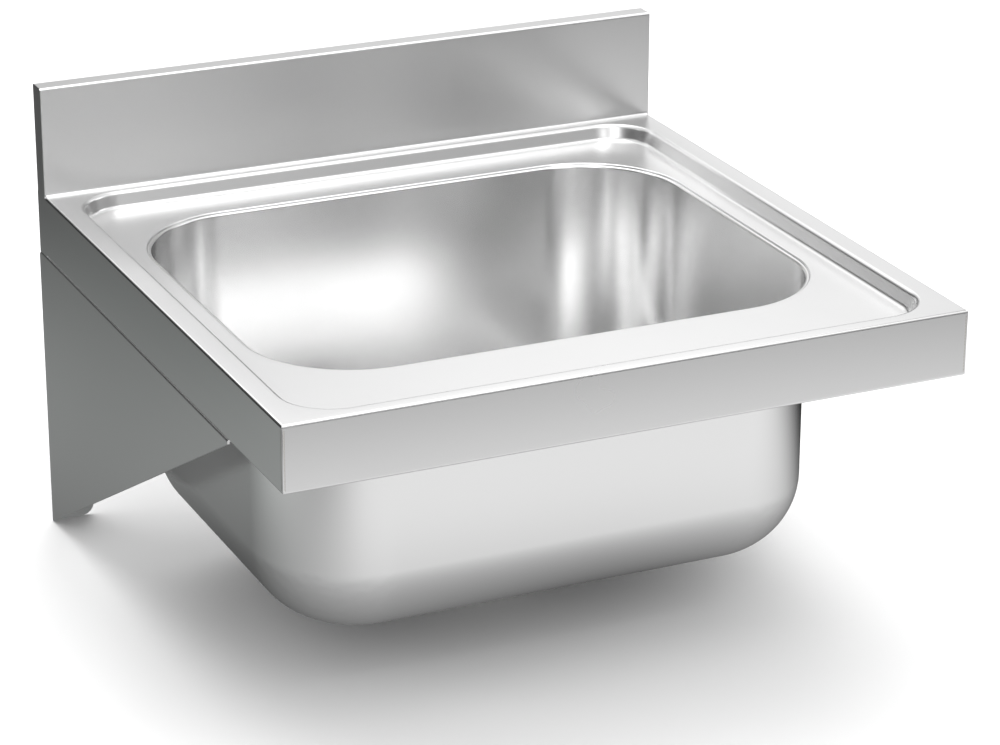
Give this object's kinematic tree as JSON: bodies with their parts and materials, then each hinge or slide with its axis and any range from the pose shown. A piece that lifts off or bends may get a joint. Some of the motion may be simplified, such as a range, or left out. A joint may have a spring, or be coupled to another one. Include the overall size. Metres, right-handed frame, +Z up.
{
  "type": "wall-mounted sink",
  "caption": "Wall-mounted stainless steel sink with a pressed worktop, splashback, deep rounded bowl, folded side brackets, basket strainer waste and lift-out plug.",
  "frame": {"origin": "middle of the four wall screw holes, on the plane of the wall", "axes": "+X to the right seen from the front, +Y back into the wall, +Z up"},
  "size_m": [0.6, 0.605, 0.4235],
  "materials": {
    "worktop_steel": "satin",
    "bowl_steel": "satin",
    "bracket_steel": "brushed",
    "stiffener_steel": "mill",
    "fastener_steel": "bright",
    "waste_steel": "polished",
    "waste_plastic": "moulded",
    "insert_brass": "turned",
    "seal_rubber": "matte",
    "plug_rubber": "matte",
    "pad_bitumen": "embossed"
  },
  "bodies": {
    "sink": {"worktop": "worktop_steel", "splash_end_left": "worktop_steel", "splash_end_right": "worktop_steel", "bowl": "bowl_steel", "front_stiffener": "stiffener_steel", "rear_stiffener": "stiffener_steel", "earth_tag": "stiffener_steel", "sound_pads": "pad_bitumen", "bracket_left": "bracket_steel", "bracket_right": "bracket_steel", "bracket_bolts": "fastener_steel", "bracket_washers": "fastener_steel", "bracket_nuts": "fastener_steel", "strainer": "waste_steel", "upper_seal": "seal_rubber", "lower_seal": "seal_rubber", "waste_body": "waste_plastic", "strainer_insert": "insert_brass", "strainer_screw": "waste_steel"},
    "plug": {"plug": "plug_rubber", "plug_eye": "waste_steel"},
    "pull_ring": {"pull_ring": "waste_steel"}
  },
  "joints": [
    {"name": "plug_lift", "type": "slide", "parent": "sink", "child": "plug", "axis": [0, 0, 1], "range_m": [0, 0.3]},
    {"name": "ring_swing", "type": "hinge", "parent": "plug", "child": "pull_ring", "pos_m": [0, -0.291, -0.06775], "axis": [-1, 0, 0], "range_deg": [0, 203]}
  ]
}
